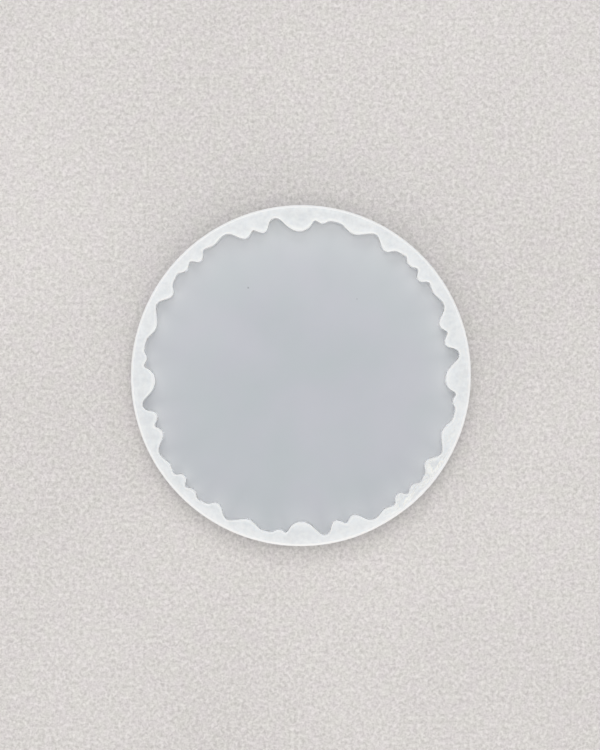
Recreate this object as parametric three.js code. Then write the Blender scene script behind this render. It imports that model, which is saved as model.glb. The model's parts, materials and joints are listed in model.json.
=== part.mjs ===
import * as THREE from 'three';

// A one-piece silicone mould for casting a round resin coaster.  It is a shallow open tray: a
// thin flat floor inside a low rim.  The rim's outside is a plain circle.  Its inside runs in
// and out in soft lobes, so that the casting comes out with an edge like a slice of agate.
// The lobes follow one pattern that repeats round the tray, four times.
//
// Millimetres, +Z up out of the open mouth, origin at the centre of the flat base.

// Driving dimensions.
const OUTER_RADIUS = 56;
const HEIGHT = 8;
const FLOOR_THICKNESS = 2;
const WALL_DRAFT = THREE.MathUtils.degToRad(3); // the cavity widens towards its mouth
const BASE_CHAMFER = 0.4;
const CAVITY_SHIFT = new THREE.Vector3(-0.2, -0.3, 0); // it lies a little off the centre
const OUTER_EDGE_ROUND = 0.8;
const LIP_BEVEL = 0.4; // where the rim turns down into the cavity
const FLOOR_BEVEL = 0.3; // where the wall meets the floor

// How finely the solid is cut up.
const STEPS_PER_POINT = 2;
const EDGE_ROUND_STEPS = 2;

// The pattern starts afresh at each broad lobe, in degrees clockwise from +Y.  The lobes aren't
// quite square to each other, so the pattern is a little stretched or squeezed between them.
const BROAD_LOBES = [0, 91.2, 180, 268.6, 360];

// The pattern: the cavity's outline at the top of its wall, just under the lip, from one broad
// lobe to the next, as [degrees, radius].  Each lobe has its tip, the hollows beside it and a point on each
// flank.
const LOBE_PATTERN = [
  [0, 48.3], // broad round lobe
  [2.5, 49.0],
  [4, 50.5],
  [4.6, 51.8],
  [5.5, 52.2],
  [7.8, 51.2], // small lobe, then a nearly straight stretch
  [9.2, 51.8],
  [10.3, 52.6],
  [15.2, 52.5],
  [17, 51.5],
  [20, 50.5], // soft lobe and the deepest hollow
  [22.5, 51.2],
  [25, 52.5],
  [27.7, 53.6],
  [29.6, 52.7],
  [31.7, 50.9],
  [33.6, 50.2], // pointed lobe with a shoulder after it
  [35, 50.9],
  [36, 52.0],
  [37.3, 52.6],
  [39, 52.9],
  [40.9, 53.3],
  [42.3, 52.2],
  [43.8, 51.7], // shallow lobe
  [45.3, 52.2],
  [46.8, 53.1],
  [48, 52.2],
  [48.7, 51.1],
  [50.2, 50.6], // narrow square lobe
  [51.6, 51.3],
  [52.4, 52.7],
  [53.2, 53.1],
  [57, 52.2], // slight swelling
  [59.5, 52.9],
  [62.2, 53.5],
  [64.6, 52.6],
  [66.8, 50.3],
  [69, 49.2], // two long lobes, side by side
  [70.6, 49.9],
  [72.3, 51.3],
  [74.2, 50.0],
  [76, 49.2],
  [77.5, 50.0],
  [78.4, 51.9],
  [79.5, 53.0],
  [80.8, 53.4],
  [82.5, 52.9],
  [84.5, 50.8],
  [87, 48.9],
];

const PATTERN_DEGREES = 90;
const UP = new THREE.Vector3(0, 0, 1);

// A point on a circle about the origin, clockwise from +Y.
function polarPoint(degrees, radius) {
  const angle = THREE.MathUtils.degToRad(degrees);
  return new THREE.Vector3(radius * Math.sin(angle), radius * Math.cos(angle), 0);
}

// The whole closed outline as points on one smooth curve, anticlockwise seen from above.
function cavityOutline() {
  const knots = [];
  for (let lobe = 0; lobe + 1 < BROAD_LOBES.length; lobe += 1) {
    const start = BROAD_LOBES[lobe];
    const stretch = (BROAD_LOBES[lobe + 1] - start) / PATTERN_DEGREES;
    for (const [degrees, radius] of LOBE_PATTERN) {
      knots.push(polarPoint(start + stretch * degrees, radius).add(CAVITY_SHIFT));
    }
  }
  const curve = new THREE.CatmullRomCurve3(knots.reverse(), true, 'centripetal');
  const outline = curve.getPoints(knots.length * STEPS_PER_POINT);
  outline.pop(); // the last point repeats the first
  return outline;
}

// A ring of the outside, level at height z, with a point straight out from each of the outline's.
function outerRing(outline, radius, z) {
  return outline.map((point) => point.clone().setLength(radius).setZ(z));
}

// A ring of the inside, level at height z, set out from the outline along its own normal.
function cavityRing(outline, offset, z) {
  const count = outline.length;
  return outline.map((point, index) => {
    const before = outline[(index + count - 1) % count];
    const after = outline[(index + 1) % count];
    const outwards = after.clone().sub(before).cross(UP).normalize();
    return point.clone().addScaledVector(outwards, offset).setZ(z);
  });
}

// The body's section, swept round: up the outside, over the rim and down to the floor's edge.
function sectionRings(outline) {
  const rings = [
    outerRing(outline, OUTER_RADIUS - BASE_CHAMFER, 0),
    outerRing(outline, OUTER_RADIUS, BASE_CHAMFER),
  ];
  for (let step = 0; step <= EDGE_ROUND_STEPS; step += 1) {
    const turn = (Math.PI / 2) * (step / EDGE_ROUND_STEPS);
    const radius = OUTER_RADIUS - OUTER_EDGE_ROUND * (1 - Math.cos(turn));
    const z = HEIGHT - OUTER_EDGE_ROUND * (1 - Math.sin(turn));
    rings.push(outerRing(outline, radius, z));
  }
  const lipHeight = HEIGHT - LIP_BEVEL;
  const footHeight = FLOOR_THICKNESS + FLOOR_BEVEL;
  const footInset = (lipHeight - footHeight) * Math.tan(WALL_DRAFT);
  rings.push(
    cavityRing(outline, LIP_BEVEL, HEIGHT),
    cavityRing(outline, 0, lipHeight),
    cavityRing(outline, -footInset, footHeight),
    cavityRing(outline, -footInset - FLOOR_BEVEL, FLOOR_THICKNESS),
  );
  return rings;
}

// A closed body: a disc under the first ring, walls from ring to ring, a disc inside the last.
function closedBody(rings) {
  const count = rings[0].length;
  const baseCentre = rings.length * count;
  const floorCentre = baseCentre + 1;
  const lastRing = (rings.length - 1) * count;
  const triangles = [];
  for (let index = 0; index < count; index += 1) {
    const next = (index + 1) % count;
    triangles.push(baseCentre, next, index);
    for (let ring = 0; ring < rings.length - 1; ring += 1) {
      const low = ring * count;
      const high = low + count;
      triangles.push(low + index, low + next, high + next);
      triangles.push(low + index, high + next, high + index);
    }
    triangles.push(floorCentre, lastRing + index, lastRing + next);
  }
  const points = rings.flat();
  points.push(new THREE.Vector3(0, 0, 0));
  points.push(new THREE.Vector3(0, 0, FLOOR_THICKNESS));
  const body = new THREE.BufferGeometry().setFromPoints(points);
  body.setIndex(triangles);
  return body;
}

// Cloudy, rubbery, slightly glossy silicone.
function siliconeMaterial() {
  return new THREE.MeshStandardMaterial({
    color: new THREE.Color('#dfe6ea'),
    roughness: 0.35,
    metalness: 0,
    flatShading: true,
  });
}

function siliconeMould() {
  const geometry = closedBody(sectionRings(cavityOutline()));
  const mesh = new THREE.Mesh(geometry, siliconeMaterial());
  mesh.name = 'silicone_mould';
  return mesh;
}

const resinMould = new THREE.Group();
resinMould.add(siliconeMould());

export default resinMould;
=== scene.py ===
import json
import math

import bpy
import numpy as np
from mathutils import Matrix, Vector


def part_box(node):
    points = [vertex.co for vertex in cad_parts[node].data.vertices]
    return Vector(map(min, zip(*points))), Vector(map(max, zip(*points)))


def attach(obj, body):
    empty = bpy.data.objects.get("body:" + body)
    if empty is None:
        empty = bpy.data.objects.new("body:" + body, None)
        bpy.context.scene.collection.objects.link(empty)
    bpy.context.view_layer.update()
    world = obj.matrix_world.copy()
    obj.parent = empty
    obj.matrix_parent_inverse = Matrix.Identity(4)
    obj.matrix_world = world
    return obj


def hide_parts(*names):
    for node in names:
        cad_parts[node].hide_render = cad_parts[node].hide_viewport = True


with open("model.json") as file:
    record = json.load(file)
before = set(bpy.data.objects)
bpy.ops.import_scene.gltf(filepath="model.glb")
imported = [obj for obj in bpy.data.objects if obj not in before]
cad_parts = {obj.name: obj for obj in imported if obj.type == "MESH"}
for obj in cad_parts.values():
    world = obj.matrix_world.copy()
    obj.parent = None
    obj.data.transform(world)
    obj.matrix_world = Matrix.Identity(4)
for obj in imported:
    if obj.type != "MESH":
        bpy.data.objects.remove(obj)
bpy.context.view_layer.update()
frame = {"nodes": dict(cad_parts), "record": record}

# The finished skin of a silicone mould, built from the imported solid's lip ring, and the studio it
# is shown in.  Everything is in metres and in the part's own frame: the base's centre is the
# origin, +Z up.  Bearings are in degrees, clockwise from +Y.

MM = 0.001
NODE = "silicone_mould"

# Roundings of the skin.
BASE_ROUND = 0.4 * MM
OUTER_ROUND = 0.9 * MM
LIP_ROUND = 0.24 * MM
FLOOR_FILLET = 0.12 * MM

# The skin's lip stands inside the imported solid's: this far square to the outline, then this much
# further straight towards the middle.  The wall's foot stands a little further in again.
LIP_INSET = 0.12 * MM
LIP_SHIFT = 0.50 * MM
WALL_LEAN = 0.06 * MM

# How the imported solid's wavy rings are told from its other points.
RING_MARGIN = 0.1 * MM     # rings this near to the floor's or the top's height are left out
LEAST_WAVE = 1.0 * MM      # a ring whose radius varies less than this is a plain circle

# How finely the skin is cut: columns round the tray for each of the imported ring's points, and rows
# along the section.
COLUMNS_PER_CAD_POINT = 3
SMOOTHING_PASSES = 5
BASE_ROWS = 5
GHOST_ROWS = 7
BASE_EDGE_ROWS = 3
WALL_ROWS = 6
ROUND_ROWS = 6
RIM_ROWS = 9
FLOOR_ROWS = 16
FLOOR_CROWDING = 1.8       # the power that crowds the floor's rows towards its edge
FLOOR_ROUNDING = 3         # how fast those rows turn from the wavy outline into circles
FLOOR_SETTLING = 4         # and how fast the floor's unevenness sets in

# The soft body isn't true: it lies a little out of round, and is dented at one place.
OUT_OF_ROUND = 0.28 * MM
WIDEST_DEGREES = 25.0
DENT_DEPTH = 0.12 * MM
DENT_DEGREES = 148.0
DENT_WIDTH = 8.0

# The rim's top is uneven between its two edges.
RIM_WAVE = 0.05 * MM
RIM_WAVE_LENGTH = 9 * MM
RIM_SEED = 3
RIM_SINK = 2.2             # how far it sinks, in heights of its waves

# A patch of fine creases in it, running along the rim.
CREASE_HEIGHT = 0.3 * MM
CREASE_LENGTH = 2.2 * MM
CREASE_SEED = 5
CREASE_SWING = 0.5         # how far its waves swing, and how far the patch sinks, as shares of
CREASE_SINK = 0.8          # the creases' height
CREASE_ALONG = 0.6         # places along the rim count for less than those across it, so that the
CREASE_ACROSS = 1.6        # waves are long along it and narrow across
CREASE_DEGREES = 131.0
CREASE_WIDTH = 13.0

# The floor is very slightly uneven.
FLOOR_WAVE = 0.05 * MM
FLOOR_WAVE_LENGTH = 26 * MM
FLOOR_SEED = 11

# The outer wall is coloured as if as thick as this share of the rim's width at its foot, which
# greys it with painted shade, and as if thicker by this much at its top, which paints the rim's
# light on it as a glow.
WALL_SEEN_SHARE = 0.15
WALL_TOP_GLOW = 1.8 * MM

# How strongly the edges are painted with a warm-white glow, standing for light through the
# silicone: the top of the outer wall, the rounded edge, and the rim by the lip.
WALL_EDGE_GLOW = 0.6
WALL_EDGE_POWER = 4
ROUND_EDGE_GLOW = 3.0
RIM_EDGE_GLOW = 0.7
RIM_EDGE_FADE = 4

# How glossy the skin is, from the satin rim's lip down to the cavity's fully glossy floor.
LIP_GLOSS = 0.3
LIP_ROUND_GLOSS = 0.4
WALL_TOP_GLOSS = 0.6

# The thick rim's light shows in the thin floor: softly far in, and strongly at the wall's foot.
WIDE_GLOW = 0.43
WIDE_GLOW_REACH = 10.0 * MM
FOOT_GLOW = 0.42
FOOT_GLOW_REACH = 2.0 * MM

# The wavy wall shows through the base, blurred over this far to each side.  The base's middle is
# cut into rows as far as this from the outside.
GHOST_BLUR = 1.2 * MM
BASE_MARGIN = 10 * MM


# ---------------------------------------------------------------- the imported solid's own rings

def node_points(name):
    """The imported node's points, each once."""
    mesh = frame["nodes"][name].data
    flat = np.empty(len(mesh.vertices) * 3)
    mesh.vertices.foreach_get("co", flat)
    return np.unique(np.round(flat.reshape(-1, 3), 7), axis=0)


def wavy_rings(points, floor_height, top_height):
    """The rings between floor and top that aren't plain circles, lowest first, each in order."""
    rings = []
    heights = np.round(points[:, 2], 6)
    for height in np.unique(heights):
        if not floor_height + RING_MARGIN < height < top_height - RING_MARGIN:
            continue
        ring = points[heights == height, :2]
        if np.ptp(np.hypot(ring[:, 0], ring[:, 1])) > LEAST_WAVE:
            rings.append(ring[np.argsort(np.arctan2(ring[:, 1], ring[:, 0]))])
    return rings


# ---------------------------------------------------------------- rings of points

def lengths(points):
    """Each point's distance from the middle, as a column."""
    return np.linalg.norm(points, axis=1, keepdims=True)


def evenly_spaced(ring, count):
    """Points at equal steps along a closed ring."""
    closed = np.vstack([ring, ring[:1]])
    steps = np.linalg.norm(np.diff(closed, axis=0), axis=1)
    reached = np.concatenate([[0.0], np.cumsum(steps)])
    wanted = np.arange(count) / count * reached[-1]
    return np.column_stack([np.interp(wanted, reached, closed[:, axis]) for axis in (0, 1)])


def smoothed(ring, passes):
    """The closed ring with its corners rounded."""
    for _ in range(passes):
        ring = 0.25 * np.roll(ring, 1, 0) + 0.5 * ring + 0.25 * np.roll(ring, -1, 0)
    return ring


def outward_normals(outline):
    """Unit normals of an anticlockwise outline, pointing away from its inside."""
    along = np.roll(outline, -1, 0) - np.roll(outline, 1, 0)
    normals = np.stack([along[:, 1], -along[:, 0]], 1)
    return normals / lengths(normals)


def distance_between(points, ring):
    """How far each point is from the ring's nearest point."""
    across = points[:, None, 0] - ring[None, :, 0]
    up = points[:, None, 1] - ring[None, :, 1]
    return np.sqrt((across ** 2 + up ** 2).min(axis=1))


def quarter_turn(rows):
    """The angles at the ends of equal steps through a quarter of a circle."""
    return [(step + 1) / rows * math.pi / 2 for step in range(rows)]


# ---------------------------------------------------------------- small smooth fields

def wave_field(points, wavelength, seed, waves=14):
    """A smooth random field over the plane, about -1 to 1: a sum of waves in all directions."""
    draw = np.random.default_rng(seed)
    total = np.zeros(len(points))
    for _ in range(waves):
        heading = draw.uniform(0, 2 * math.pi)
        length = wavelength * draw.uniform(0.7, 1.5)
        phase = draw.uniform(0, 2 * math.pi)
        across = points[:, 0] * math.cos(heading) + points[:, 1] * math.sin(heading)
        total += np.sin(2 * math.pi * across / length + phase)
    return total / math.sqrt(waves)


def clock_degrees(points):
    """Each point's bearing."""
    return np.degrees(np.arctan2(points[:, 0], points[:, 1])) % 360


def along_and_across(points):
    """Places along and across the rim, so that a field on them runs in streaks along it."""
    radii = np.hypot(points[:, 0], points[:, 1])
    along = CREASE_ALONG * np.radians(clock_degrees(points)) * radii.mean()
    return np.column_stack([along, CREASE_ACROSS * radii])


def hump(degrees, middle, width):
    """A bell curve over the bearings: 1 at the middle, and about a third at the width from it."""
    return np.exp(-((degrees - middle) / width) ** 2)


def outer_radius(degrees, radius):
    """The outside's radius at each bearing: nearly a circle, a little squeezed and dented."""
    turned = np.radians(2 * (degrees - WIDEST_DEGREES))
    squeeze = OUT_OF_ROUND * (0.5 - 0.5 * np.cos(turned))
    return radius - squeeze - DENT_DEPTH * hump(degrees, DENT_DEGREES, DENT_WIDTH)


def glow(distance):
    """How strongly the floor glows at a distance from the wall."""
    wide = WIDE_GLOW * np.exp(-distance / WIDE_GLOW_REACH)
    return wide + FOOT_GLOW * np.exp(-distance / FOOT_GLOW_REACH)


# ---------------------------------------------------------------- the skin

class Skin:
    """Rows of points round the tray, from under its centre, up the outside and to the floor."""

    LABELS = ("thickness", "gloss", "edge", "crease", "glow")

    def __init__(self):
        self.rows = []
        self.values = {label: [] for label in self.LABELS}

    def add(self, ring, height, thickness, gloss=0.0, edge=0.0, crease=0.0, glow=0.0):
        """One more row, at a height or at a height for each point, with its surface's values."""
        count = len(ring)
        level = np.broadcast_to(np.asarray(height, float), count)
        self.rows.append(np.column_stack([ring, level]))
        for label, value in zip(self.LABELS, (thickness, gloss, edge, crease, glow)):
            self.values[label].append(np.broadcast_to(np.asarray(value, float), count))

    def faces(self):
        """Quads from row to row, and a fan of triangles at each end."""
        count = len(self.rows[0])
        low_pole = len(self.rows) * count
        high_pole = low_pole + 1
        here = np.arange(count)
        following = (here + 1) % count
        faces = []
        for row in range(len(self.rows) - 1):
            low = row * count
            high = low + count
            quads = [low + here, low + following, high + following, high + here]
            faces += np.stack(quads, 1).tolist()
        last = low_pole - count
        faces += np.stack([np.full(count, low_pole), following, here], 1).tolist()
        faces += np.stack([np.full(count, high_pole), last + here, last + following], 1).tolist()
        return faces

    def mesh(self, name):
        """One closed mesh, with the surface's values as attributes of its points."""
        poles = [[0, 0, self.rows[0][0, 2]], [0, 0, self.rows[-1][:, 2].mean()]]
        points = np.vstack([*self.rows, poles])
        mesh = bpy.data.meshes.new(name)
        mesh.from_pydata(points.tolist(), [], self.faces())
        for label, rows in self.values.items():
            values = np.concatenate([*rows, [rows[0].mean(), rows[-1].mean()]])
            attribute = mesh.attributes.new(label, "FLOAT", "POINT")
            attribute.data.foreach_set("value", values.astype(np.float32))
        mesh.shade_smooth()
        mesh.validate()
        return mesh


class Section:
    """The measures and outlines that all the skin's rows are made from."""

    def __init__(self):
        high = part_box(NODE)[1]
        self.height = high[2]
        self.radius = min(high[0], high[1])
        mounts = {mount["name"]: mount for mount in frame["record"]["mounts"]}
        self.floor = mounts["cavity_floor"]["pos_m"][2]
        self.outline = self.lip_outline()
        self.normals = outward_normals(self.outline)
        self.bearing = clock_degrees(self.outline)
        self.direction = self.outline / lengths(self.outline)
        self.outside = outer_radius(self.bearing, self.radius)
        self.seen_wall = WALL_SEEN_SHARE * (self.outside - lengths(self.outline)[:, 0])

    def lip_outline(self):
        """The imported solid's highest wavy ring, evenly cut, set in and smoothed."""
        ring = wavy_rings(node_points(NODE), self.floor, self.height)[-1]
        outline = evenly_spaced(ring, COLUMNS_PER_CAD_POINT * len(ring))
        outline = outline - LIP_INSET * outward_normals(outline)
        outline = outline - LIP_SHIFT * outline / lengths(outline)
        return smoothed(outline, SMOOTHING_PASSES)

    def on_circle(self, inset):
        """The outside, set in."""
        return self.direction * (self.outside - inset)[:, None]

    def on_outline(self, offset):
        """The cavity's outline, set out along its normals."""
        return self.outline + self.normals * offset


def add_underside(skin, section):
    """The floor's thin sheet in the middle of the base, and the thick rim round it."""
    floor, height = section.floor, section.height
    for row in range(1, BASE_ROWS):
        skin.add(section.direction * (section.radius - BASE_MARGIN) * row / BASE_ROWS, 0.0, floor)
    for step in range(GHOST_ROWS):
        share = step / (GHOST_ROWS - 1)
        depth = floor + (height - floor) * (0.5 - 0.5 * math.cos(math.pi * share))
        skin.add(section.outline + section.direction * GHOST_BLUR * (2 * share - 1), 0.0, depth)


def add_outer_wall(skin, section):
    """The base's edge, the outer wall and the rim's rounded outer edge."""
    height, seen_wall = section.height, section.seen_wall
    for turn in [0.0] + quarter_turn(BASE_EDGE_ROWS):
        level = BASE_ROUND * (1 - math.cos(turn))
        skin.add(section.on_circle(BASE_ROUND * (1 - math.sin(turn))), level, seen_wall)
    for row in range(1, WALL_ROWS + 1):
        share = row / WALL_ROWS
        level = BASE_ROUND + (height - OUTER_ROUND - BASE_ROUND) * share
        # The wall's foot is greyed as painted shade, and its top lightened as a painted glow.
        shade_and_glow_depth = seen_wall + WALL_TOP_GLOW * share ** 2
        skin.add(section.on_circle(0.0), level, shade_and_glow_depth, edge=WALL_EDGE_GLOW * share ** WALL_EDGE_POWER)
    # The rounded edge is painted with a warm-white glow.
    for turn in quarter_turn(ROUND_ROWS):
        level = height - OUTER_ROUND * (1 - math.sin(turn))
        ring = section.on_circle(OUTER_ROUND * (1 - math.cos(turn)))
        skin.add(ring, level, height, edge=min(1.0, ROUND_EDGE_GLOW * math.cos(turn)))


def add_rim_top(skin, section):
    """The rim's top, from its outer edge to the cavity's lip."""
    outer = section.on_circle(OUTER_ROUND)
    inner = section.on_outline(LIP_ROUND)
    for row in range(1, RIM_ROWS):
        share = row / RIM_ROWS
        ring = outer * (1 - share) + inner * share
        wave = RIM_WAVE * (wave_field(ring, RIM_WAVE_LENGTH, RIM_SEED) - RIM_SINK)
        creased = hump(clock_degrees(ring), CREASE_DEGREES, CREASE_WIDTH)
        folds = wave_field(along_and_across(ring), CREASE_LENGTH, CREASE_SEED)
        dip = CREASE_HEIGHT * creased * (folds * CREASE_SWING - CREASE_SINK)
        away_from_edges = math.sin(math.pi * share)
        level = section.height + np.minimum(away_from_edges * (wave + dip), 0.0)
        # The rim next to the lip is painted with a glow.
        edge = max(0.0, RIM_EDGE_GLOW - RIM_EDGE_FADE * (1 - share))
        skin.add(ring, level, section.height, gloss=creased, edge=edge, crease=creased)


def add_lip(skin, section):
    """The rounded lip of the cavity."""
    height = section.height
    crease = hump(section.bearing, CREASE_DEGREES, CREASE_WIDTH)
    # The lip is painted with the full edge glow.
    skin.add(section.on_outline(LIP_ROUND), height, height, LIP_GLOSS, 1.0, crease)
    for turn in quarter_turn(ROUND_ROWS):
        level = height - LIP_ROUND * (1 - math.cos(turn))
        ring = section.on_outline(LIP_ROUND * (1 - math.sin(turn)))
        skin.add(ring, level, height, LIP_ROUND_GLOSS, 1.0, crease)


def add_cavity_wall(skin, section):
    """The cavity's wall, and the fillet at its foot."""
    height, floor = section.height, section.floor
    wall_top = height - LIP_ROUND
    wall_foot = floor + FLOOR_FILLET
    for row in range(1, WALL_ROWS + 1):
        share = row / WALL_ROWS
        level = wall_top + (wall_foot - wall_top) * share
        ring = section.on_outline(-WALL_LEAN * share)
        gloss = WALL_TOP_GLOSS + (1.0 - WALL_TOP_GLOSS) * share
        # The wall is painted with the edge glow at its top and the floor's painted glow at its foot.
        skin.add(ring, level, height, gloss, edge=1.0 - share, glow=share)
    for turn in quarter_turn(ROUND_ROWS):
        share = turn / (math.pi / 2)
        level = floor + FLOOR_FILLET * (1 - math.sin(turn))
        ring = section.on_outline(-WALL_LEAN - FLOOR_FILLET * (1 - math.cos(turn)))
        depth = height * (1 - share) + floor * share
        glowing = 1.0 - (1.0 - glow(0.0)) * share
        skin.add(ring, level, depth, gloss=1.0, glow=glowing)


def add_floor(skin, section):
    """The cavity's floor, from its edge to the middle."""
    edge_ring = section.on_outline(-WALL_LEAN - FLOOR_FILLET)
    mean_ring = section.direction * lengths(edge_ring).mean()
    for row in range(1, FLOOR_ROWS):
        share = (row / FLOOR_ROWS) ** FLOOR_CROWDING
        rounding = min(1.0, FLOOR_ROUNDING * share)
        ring = (edge_ring * (1 - rounding) + mean_ring * rounding) * (1 - share)
        settled = min(1.0, FLOOR_SETTLING * share)
        waves = wave_field(ring, FLOOR_WAVE_LENGTH, FLOOR_SEED)
        level = section.floor + settled * FLOOR_WAVE * waves
        glowing = glow(distance_between(ring, edge_ring))
        skin.add(ring, level, section.floor, gloss=1.0, glow=glowing)


def build_mould():
    skin = Skin()
    section = Section()
    add_underside(skin, section)
    add_outer_wall(skin, section)
    add_rim_top(skin, section)
    add_lip(skin, section)
    add_cavity_wall(skin, section)
    add_floor(skin, section)
    mould = bpy.data.objects.new("mould_skin", skin.mesh("mould_skin"))
    bpy.context.scene.collection.objects.link(mould)
    return mould


# ---------------------------------------------------------------- materials

# Nearly all of a noise lies between the wide pair, and most of it between the narrow pair.
NOISE_LOW = 0.3
NOISE_HIGH = 0.7
NOISE_MOSTLY_LOW = 0.35
NOISE_MOSTLY_HIGH = 0.65


class Nodes:
    """A short hand for building a material's node tree."""

    def __init__(self, name):
        self.material = bpy.data.materials.new(name)
        self.material.use_nodes = True
        self.tree = self.material.node_tree
        self.shader = self.tree.nodes["Principled BSDF"]

    def link(self, source, target):
        self.tree.links.new(source, target)

    def set(self, socket, value):
        if isinstance(value, bpy.types.NodeSocket):
            self.link(value, socket)
        else:
            socket.default_value = value

    def attribute(self, name):
        node = self.tree.nodes.new("ShaderNodeAttribute")
        node.attribute_name = name
        return node.outputs["Fac"]

    def place(self):
        return self.tree.nodes.new("ShaderNodeTexCoord").outputs["Object"]

    def stretched(self, degrees, factor):
        """The place, squeezed along a direction, so that a noise on it runs in streaks that way."""
        node = self.tree.nodes.new("ShaderNodeMapping")
        node.vector_type = "TEXTURE"
        self.link(self.place(), node.inputs["Vector"])
        node.inputs["Rotation"].default_value = (0.0, 0.0, math.radians(90.0 - degrees))
        node.inputs["Scale"].default_value = (factor, 1.0, 1.0)
        return node.outputs["Vector"]

    def noise(self, scale, detail=2.0, roughness=0.5, distortion=0.0, place=None):
        node = self.tree.nodes.new("ShaderNodeTexNoise")
        self.link(place or self.place(), node.inputs["Vector"])
        for label, value in (("Scale", scale), ("Detail", detail), ("Roughness", roughness),
                             ("Distortion", distortion)):
            node.inputs[label].default_value = value
        return node.outputs["Fac"]

    def math(self, operation, first, second=0.0, clamp=False):
        node = self.tree.nodes.new("ShaderNodeMath")
        node.operation = operation
        node.use_clamp = clamp
        self.set(node.inputs[0], first)
        self.set(node.inputs[1], second)
        return node.outputs["Value"]

    def remap(self, value, from_low, from_high, to_low, to_high):
        node = self.tree.nodes.new("ShaderNodeMapRange")
        for label, entry in (("Value", value), ("From Min", from_low), ("From Max", from_high),
                             ("To Min", to_low), ("To Max", to_high)):
            self.set(node.inputs[label], entry)
        return node.outputs["Result"]

    def swing(self, noise, amount):
        """A noise as a change of up to the amount, up and down."""
        return self.remap(noise, NOISE_LOW, NOISE_HIGH, -amount, amount)

    def share(self, noise):
        """A noise as a share from 0 to 1, which it reaches in many places."""
        return self.remap(noise, NOISE_MOSTLY_LOW, NOISE_MOSTLY_HIGH, 0.0, 1.0)

    def spot(self, place, radius):
        """1 at the place, falling to 0 at the radius."""
        node = self.tree.nodes.new("ShaderNodeVectorMath")
        node.operation = "DISTANCE"
        self.link(self.place(), node.inputs[0])
        node.inputs[1].default_value = place
        return self.remap(node.outputs["Value"], 0.3 * radius, radius, 1.0, 0.0)

    def blend(self, factor, first, second):
        node = self.tree.nodes.new("ShaderNodeMix")
        node.data_type = "RGBA"
        self.set(node.inputs["Factor"], factor)
        self.set(node.inputs[6], first)      # the first and the second colour share their names
        self.set(node.inputs[7], second)     # with other sockets, so they go by number
        return node.outputs[2]

    def bump(self, height, distance, strength=1.0, under=None):
        node = self.tree.nodes.new("ShaderNodeBump")
        node.inputs["Strength"].default_value = strength
        node.inputs["Distance"].default_value = distance
        self.set(node.inputs["Height"], height)
        if under is not None:
            self.link(under, node.inputs["Normal"])
        return node.outputs["Normal"]


def linear(red, green, blue):
    """A colour given as display values from 0 to 255, as the linear values that a shader takes."""
    def channel(value):
        part = value / 255
        return part / 12.92 if part <= 0.04045 else ((part + 0.055) / 1.055) ** 2.4
    return (channel(red), channel(green), channel(blue), 1.0)


# The outer wall's foot colour is painted shade: the grey of the shadowed table seen through the
# silicone.
SHADED_SHEER_SILICONE = linear(164, 168, 172)
THIN_SILICONE = linear(192, 197, 200)
THIN_SILICONE_WARM = linear(196, 197, 203)
THICK_SILICONE = linear(228, 230, 230)
GLOW_SILICONE = linear(229, 230, 232)
# The edge colour is a painted glow where light comes through the silicone's edges.
PAINTED_EDGE_GLOW = linear(255, 254, 247)
# The glint colour is a painted highlight on the creases' ridges.
PAINTED_GLINT = linear(255, 254, 242)

# Silicone of the floor's thickness has the thin colour, and from the thick value on it is as white
# as its milkiness allows.
THIN = 2.0 * MM
THICK = 5.0 * MM
MILKINESS = 0.88

# The noises in it: their scales, and how much each changes the milkiness.
CLOUD_SCALE = 110.0
CLOUD_SWING = 0.12
MOTTLE_SCALE = 700.0
MOTTLE_SWING = 0.2
DRIFT_SCALE = 30.0
DRIFT_SWING = 0.05
TINT_SCALE = 45.0
EDGE_SCALE = 160.0
EDGE_LEAST = 0.7

# The creases' ridges run where their noise is near its middle, and fade at these differences from
# it; they are bumped and painted with a glint.  The greyish painted shade of the valleys starts
# where the ridges end.
RIDGE_SCALE = 420.0
RIDGE_STRETCH = 2.6
RIDGE_FADE = (0.01, 0.07)
VALLEY_SHADE_RISE = (0.06, 0.2)
VALLEY_SHADE_STRENGTH = 0.35
RIDGE_BUMP = 0.0003
RIDGE_BUMP_STRENGTH = 0.8

# The surface: satin on the rim and glossy on the floor, with smudges and a fine pebble.
SATIN_ROUGHNESS = 0.34
GLOSS_ROUGHNESS = 0.14
SMUDGE_SCALE = 55.0
SMUDGE = (-0.02, 0.03)
PEBBLE_SCALE = 900.0
PEBBLE_BUMP = 0.00003
PEBBLE_BUMP_STRENGTH = 0.6

SILICONE_IOR = 1.41
SCATTER_LEAST = 0.3
SCATTER_RADIUS = (1.0, 0.95, 0.9)
SCATTER_SCALE = 8.0 * MM

# Two small darker grey spots on the floor, as place, radius and strength.
FLOOR_SPOTS = (((-17.4 * MM, 29.0 * MM, 2.0 * MM), 0.4 * MM, 1.0),
            ((18.5 * MM, 25.3 * MM, 2.0 * MM), 0.35 * MM, 0.5))
FLOOR_SPOT_COLOUR = linear(150, 154, 158)


def thin_tint(m):
    """The thin silicone's colour, here and there a little warmer."""
    return m.blend(m.share(m.noise(TINT_SCALE, 2.0)), THIN_SILICONE, THIN_SILICONE_WARM)


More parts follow.
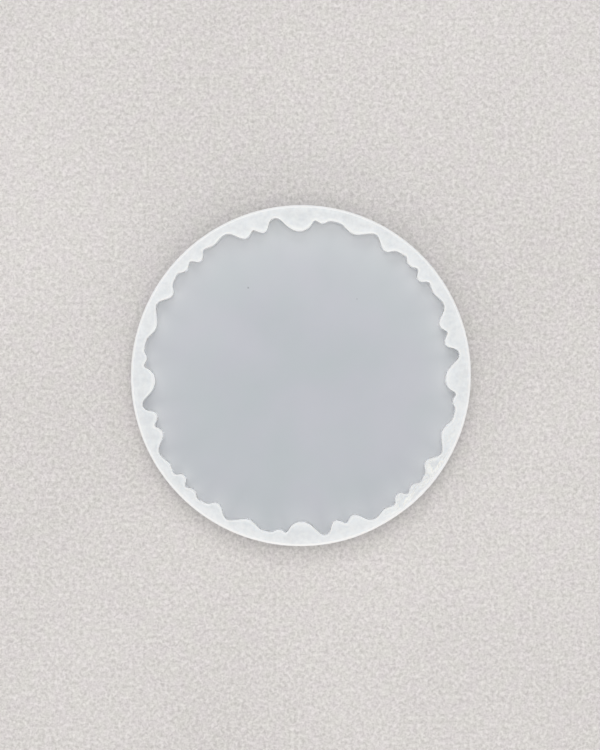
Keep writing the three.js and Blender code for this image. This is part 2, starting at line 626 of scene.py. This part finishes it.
def body_colour(m, depth, tint):
    """Blue-grey where thin, white where thick; painted shade on the outer wall, painted warm-white
    glow on edges.
    """
    cloud = m.swing(m.noise(CLOUD_SCALE, 3.0, 0.55, 0.4), CLOUD_SWING)
    mottle = m.swing(m.noise(MOTTLE_SCALE, 2.0), MOTTLE_SWING)
    uneven = m.math("MULTIPLY", m.math("ADD", cloud, mottle), depth)
    drift = m.swing(m.noise(DRIFT_SCALE, 3.0), DRIFT_SWING)
    milky = m.math("ADD", m.math("ADD", depth, uneven), drift, clamp=True)
    # The outer wall's foot greys towards its painted shade colour.
    wall_shade = m.remap(m.attribute("thickness"), 0.0, THIN, 0.0, 1.0)
    colour = m.blend(milky, m.blend(wall_shade, SHADED_SHEER_SILICONE, tint), THICK_SILICONE)
    colour = m.blend(m.attribute("glow"), colour, GLOW_SILICONE)
    # A painted warm-white glow along the edges, patchy.
    patchy = m.remap(m.noise(EDGE_SCALE, 2.0), NOISE_LOW, NOISE_HIGH, EDGE_LEAST, 1.0)
    edge = m.math("MULTIPLY", m.attribute("edge"), patchy, clamp=True)
    return m.blend(edge, colour, PAINTED_EDGE_GLOW)


def crease_shares(m):
    """How far a place is on the creases' ridges (bump and painted glint) and in their valleys
    (painted shade).
    """
    along = m.stretched(CREASE_DEGREES + 90.0, RIDGE_STRETCH)
    noise = m.noise(RIDGE_SCALE, 2.0, 0.6, 0.8, along)
    away = m.math("ABSOLUTE", m.math("SUBTRACT", noise, 0.5))
    ridge_and_glint = m.remap(away, *RIDGE_FADE, 1.0, 0.0)
    valley_shade = m.remap(away, *VALLEY_SHADE_RISE, 0.0, VALLEY_SHADE_STRENGTH)
    return [m.math("MULTIPLY", share, m.attribute("crease")) for share in (ridge_and_glint, valley_shade)]


def finish_surface(m, ridge_and_glint):
    """The gloss, and the bumps of the pebble and the creases."""
    smudge = m.remap(m.noise(SMUDGE_SCALE, 4.0, 0.6, 1.0), NOISE_MOSTLY_LOW, NOISE_MOSTLY_HIGH,
                     *SMUDGE)
    rough = m.remap(m.attribute("gloss"), 0.0, 1.0, SATIN_ROUGHNESS, GLOSS_ROUGHNESS)
    m.link(m.math("ADD", rough, smudge, clamp=True), m.shader.inputs["Roughness"])
    satin = m.math("SUBTRACT", 1.0, m.attribute("gloss"), clamp=True)
    pebble = m.math("MULTIPLY", m.noise(PEBBLE_SCALE, 3.0), satin)
    folds = m.bump(ridge_and_glint, RIDGE_BUMP, RIDGE_BUMP_STRENGTH)
    bumps = m.bump(pebble, PEBBLE_BUMP, PEBBLE_BUMP_STRENGTH, folds)
    m.link(bumps, m.shader.inputs["Normal"])


def silicone_material():
    """Milky silicone, whose colour follows its thickness, with painted glow, glints and shade."""
    m = Nodes("silicone_milky")
    depth = m.remap(m.attribute("thickness"), THIN, THICK, 0.0, MILKINESS)
    tint = thin_tint(m)
    ridge_and_glint, valley_shade = crease_shares(m)
    colour = body_colour(m, depth, tint)
    # Painted shade in the creases' valleys and a painted glint on their ridges.
    colour = m.blend(valley_shade, colour, tint)
    colour = m.blend(ridge_and_glint, colour, PAINTED_GLINT)
    for place, radius, strength in FLOOR_SPOTS:
        spot_share = m.math("MULTIPLY", m.spot(place, radius), strength)
        colour = m.blend(spot_share, colour, FLOOR_SPOT_COLOUR)
    m.link(colour, m.shader.inputs["Base Color"])
    finish_surface(m, ridge_and_glint)
    m.shader.inputs["IOR"].default_value = SILICONE_IOR
    scatter = m.remap(depth, 0.0, MILKINESS, SCATTER_LEAST, 1.0)
    m.link(scatter, m.shader.inputs["Subsurface Weight"])
    m.shader.inputs["Subsurface Radius"].default_value = SCATTER_RADIUS
    m.shader.inputs["Subsurface Scale"].default_value = SCATTER_SCALE
    return m.material


# The table's plaster: dark and light grains, each in two tints.
SPECKLE_SCALE = 860.0
SPECKLE_RANGE = (0.32, 0.68)
PATCH_SCALE = 9.0
PATCH_SWING = 0.1
GRAIN_TINT_SCALE = 170.0
DARK_GRAINS = (linear(197, 193, 188), linear(198, 192, 190))
LIGHT_GRAINS = (linear(236, 232, 227), linear(237, 231, 229))
PLASTER_ROUGHNESS = 0.75
PLASTER_SPECULAR = 0.2
PLASTER_BUMP = 0.00008
PLASTER_BUMP_STRENGTH = 0.3


def plaster_material():
    """The pale table: warm grey, finely speckled plaster."""
    m = Nodes("pale_plaster")
    speckle = m.remap(m.noise(SPECKLE_SCALE, 3.0, 0.75, 0.4), *SPECKLE_RANGE, 0.0, 1.0)
    patch = m.swing(m.noise(PATCH_SCALE, 3.0), PATCH_SWING)
    tint = m.share(m.noise(GRAIN_TINT_SCALE, 2.0))
    lightness = m.math("ADD", speckle, patch, clamp=True)
    colour = m.blend(lightness, m.blend(tint, *DARK_GRAINS), m.blend(tint, *LIGHT_GRAINS))
    m.link(colour, m.shader.inputs["Base Color"])
    m.shader.inputs["Roughness"].default_value = PLASTER_ROUGHNESS
    m.shader.inputs["Specular IOR Level"].default_value = PLASTER_SPECULAR
    bumps = m.bump(speckle, PLASTER_BUMP, PLASTER_BUMP_STRENGTH)
    m.link(bumps, m.shader.inputs["Normal"])
    return m.material


# ---------------------------------------------------------------- studio

TABLE_HALF_WIDTH = 9.0

WHITE = (1.0, 0.985, 0.965)
WARM = (1.0, 0.93, 0.84)
MIDDLE = (0.0, 0.0, 0.0)

# The soft lights: name, place, the point it faces, its size, watts and colour.
SOFTBOXES = (
    ("key", (-0.02, 0.27, 1.3), (-0.02, 0.27, 0.0), (0.8, 0.42), 1.2, WHITE),
    ("lamp", (0.0, 0.34, 1.3), MIDDLE, (0.12, 0.12), 0.7, WHITE),
    ("window", (-0.08, 0.78, 1.0), MIDDLE, (0.8, 0.5), 2.6, WHITE),
    ("front_fill", (0.0, -1.1, 0.36), MIDDLE, (1.2, 0.4), 2.7, WARM),
    ("front_lamp", (0.20, -0.60, 1.25), MIDDLE, (0.14, 0.14), 0.6, WARM),
    ("left_fill", (-1.1, -0.2, 0.40), MIDDLE, (1.0, 0.4), 1.3, WARM),
    ("right_fill", (1.1, -0.2, 0.40), MIDDLE, (1.0, 0.4), 1.3, WARM),
)

# The light from all round.
ROOM_COLOUR = (0.93, 0.96, 1.0, 1.0)
ROOM_STRENGTH = 0.68

CAMERA_DISTANCE = 0.8                    # from the rim's top, nearly straight above its middle
CAMERA_ASIDE = (-0.3 * MM, 0.2 * MM)
RIM_WIDTH_SHARE = 0.4557                 # the rim's diameter as a share of the picture's long side


def make_floor():
    half = TABLE_HALF_WIDTH
    corners = [(-half, -half, 0), (half, -half, 0), (half, half, 0), (-half, half, 0)]
    mesh = bpy.data.meshes.new("table")
    mesh.from_pydata(corners, [], [(0, 1, 2, 3)])
    table = bpy.data.objects.new("table", mesh)
    bpy.context.scene.collection.objects.link(table)
    table.data.materials.append(plaster_material())


def make_softbox(name, place, aim, size, watts, colour):
    data = bpy.data.lights.new(name, "AREA")
    data.shape = "RECTANGLE"
    data.size, data.size_y = size
    data.energy = watts
    data.color = colour
    lamp = bpy.data.objects.new(name, data)
    lamp.location = place
    lamp.rotation_euler = (Vector(aim) - Vector(place)).to_track_quat("-Z", "Y").to_euler()
    bpy.context.scene.collection.objects.link(lamp)


def make_lights():
    for softbox in SOFTBOXES:
        make_softbox(*softbox)
    world = bpy.data.worlds.new("studio")
    world.use_nodes = True
    backdrop = world.node_tree.nodes["Background"]
    backdrop.inputs["Color"].default_value = ROOM_COLOUR
    backdrop.inputs["Strength"].default_value = ROOM_STRENGTH
    bpy.context.scene.world = world
    bpy.context.scene.view_settings.view_transform = "Standard"


def make_camera():
    low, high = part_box(NODE)
    data = bpy.data.cameras.new("camera")
    long_side = (high[0] - low[0]) / RIM_WIDTH_SHARE
    data.lens = data.sensor_width * CAMERA_DISTANCE / long_side
    camera = bpy.data.objects.new("camera", data)
    camera.location = (*CAMERA_ASIDE, high[2] + CAMERA_DISTANCE)
    bpy.context.scene.collection.objects.link(camera)
    bpy.context.scene.camera = camera


make_camera()
make_floor()
make_lights()

mould = build_mould()
mould.data.materials.append(silicone_material())
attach(mould, "root")
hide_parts(NODE)
